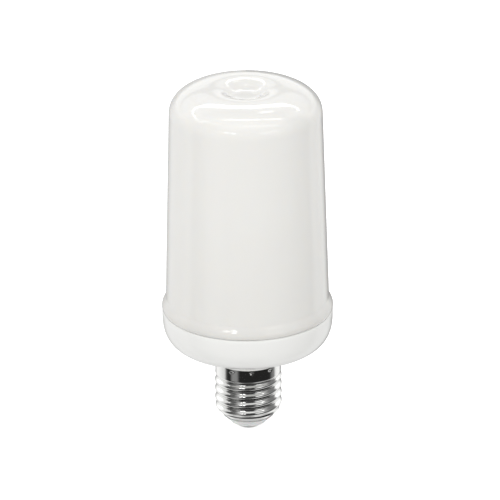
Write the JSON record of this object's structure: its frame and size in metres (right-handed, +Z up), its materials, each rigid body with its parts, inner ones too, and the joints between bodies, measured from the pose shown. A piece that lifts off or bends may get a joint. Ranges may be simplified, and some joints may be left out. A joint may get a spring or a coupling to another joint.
{
  "type": "flame effect led bulb",
  "caption": "Lamp with a frosted, dimple-topped cover on a rounded white cup and a nickel Edison screw cap, with its LED core and driver inside.",
  "frame": {"origin": "middle of the centre contact's flat face", "axes": "+Z up the lamp's axis to the crown, -Z out of the centre contact, -Y is the side that the picture shows"},
  "size_m": [0.0666, 0.0664, 0.1415],
  "materials": {
    "frosted_cover": "glossy, milky translucent",
    "white_housing": "glossy white moulding",
    "nickel_plate": "bright nickel plate on thin rolled metal",
    "pale_insulator": "satin",
    "core_plastic": "satin moulding",
    "board_white": "white solder mask",
    "board_green": "green solder mask",
    "chip_black": "moulded epoxy",
    "can_sleeve": "dark shrink sleeve on an aluminium can",
    "ferrite": "matte",
    "copper_wire": "enamelled copper",
    "resistor_coat": "matte coating",
    "lead_red": "soft insulation",
    "lead_black": "soft insulation",
    "screw_steel": "zinc-plated"
  },
  "bodies": {
    "root": {"screw_shell": "nickel_plate", "cap_insulator": "pale_insulator", "centre_contact": "nickel_plate", "base_cup": "white_housing", "diffuser": "frosted_cover", "led_core": "core_plastic", "flange_screw_1": "screw_steel", "flange_screw_2": "screw_steel", "flange_screw_3": "screw_steel", "flex_led_board": "board_white", "flame_controller_chip": "chip_black", "row_transistor_1": "chip_black", "row_transistor_2": "chip_black", "row_transistor_3": "chip_black", "row_transistor_4": "chip_black", "row_transistor_5": "chip_black", "row_transistor_6": "chip_black", "row_transistor_7": "chip_black", "row_transistor_8": "chip_black", "driver_board": "board_green", "input_capacitor": "can_sleeve", "output_capacitor": "can_sleeve", "inductor_core": "ferrite", "inductor_winding": "copper_wire", "fuse_resistor": "resistor_coat", "bridge_rectifier": "chip_black", "buck_chip": "chip_black", "freewheel_diode": "chip_black", "live_lead": "lead_red", "neutral_lead": "lead_black", "led_lead_positive": "lead_red", "led_lead_negative": "lead_black"}
  },
  "joints": []
}
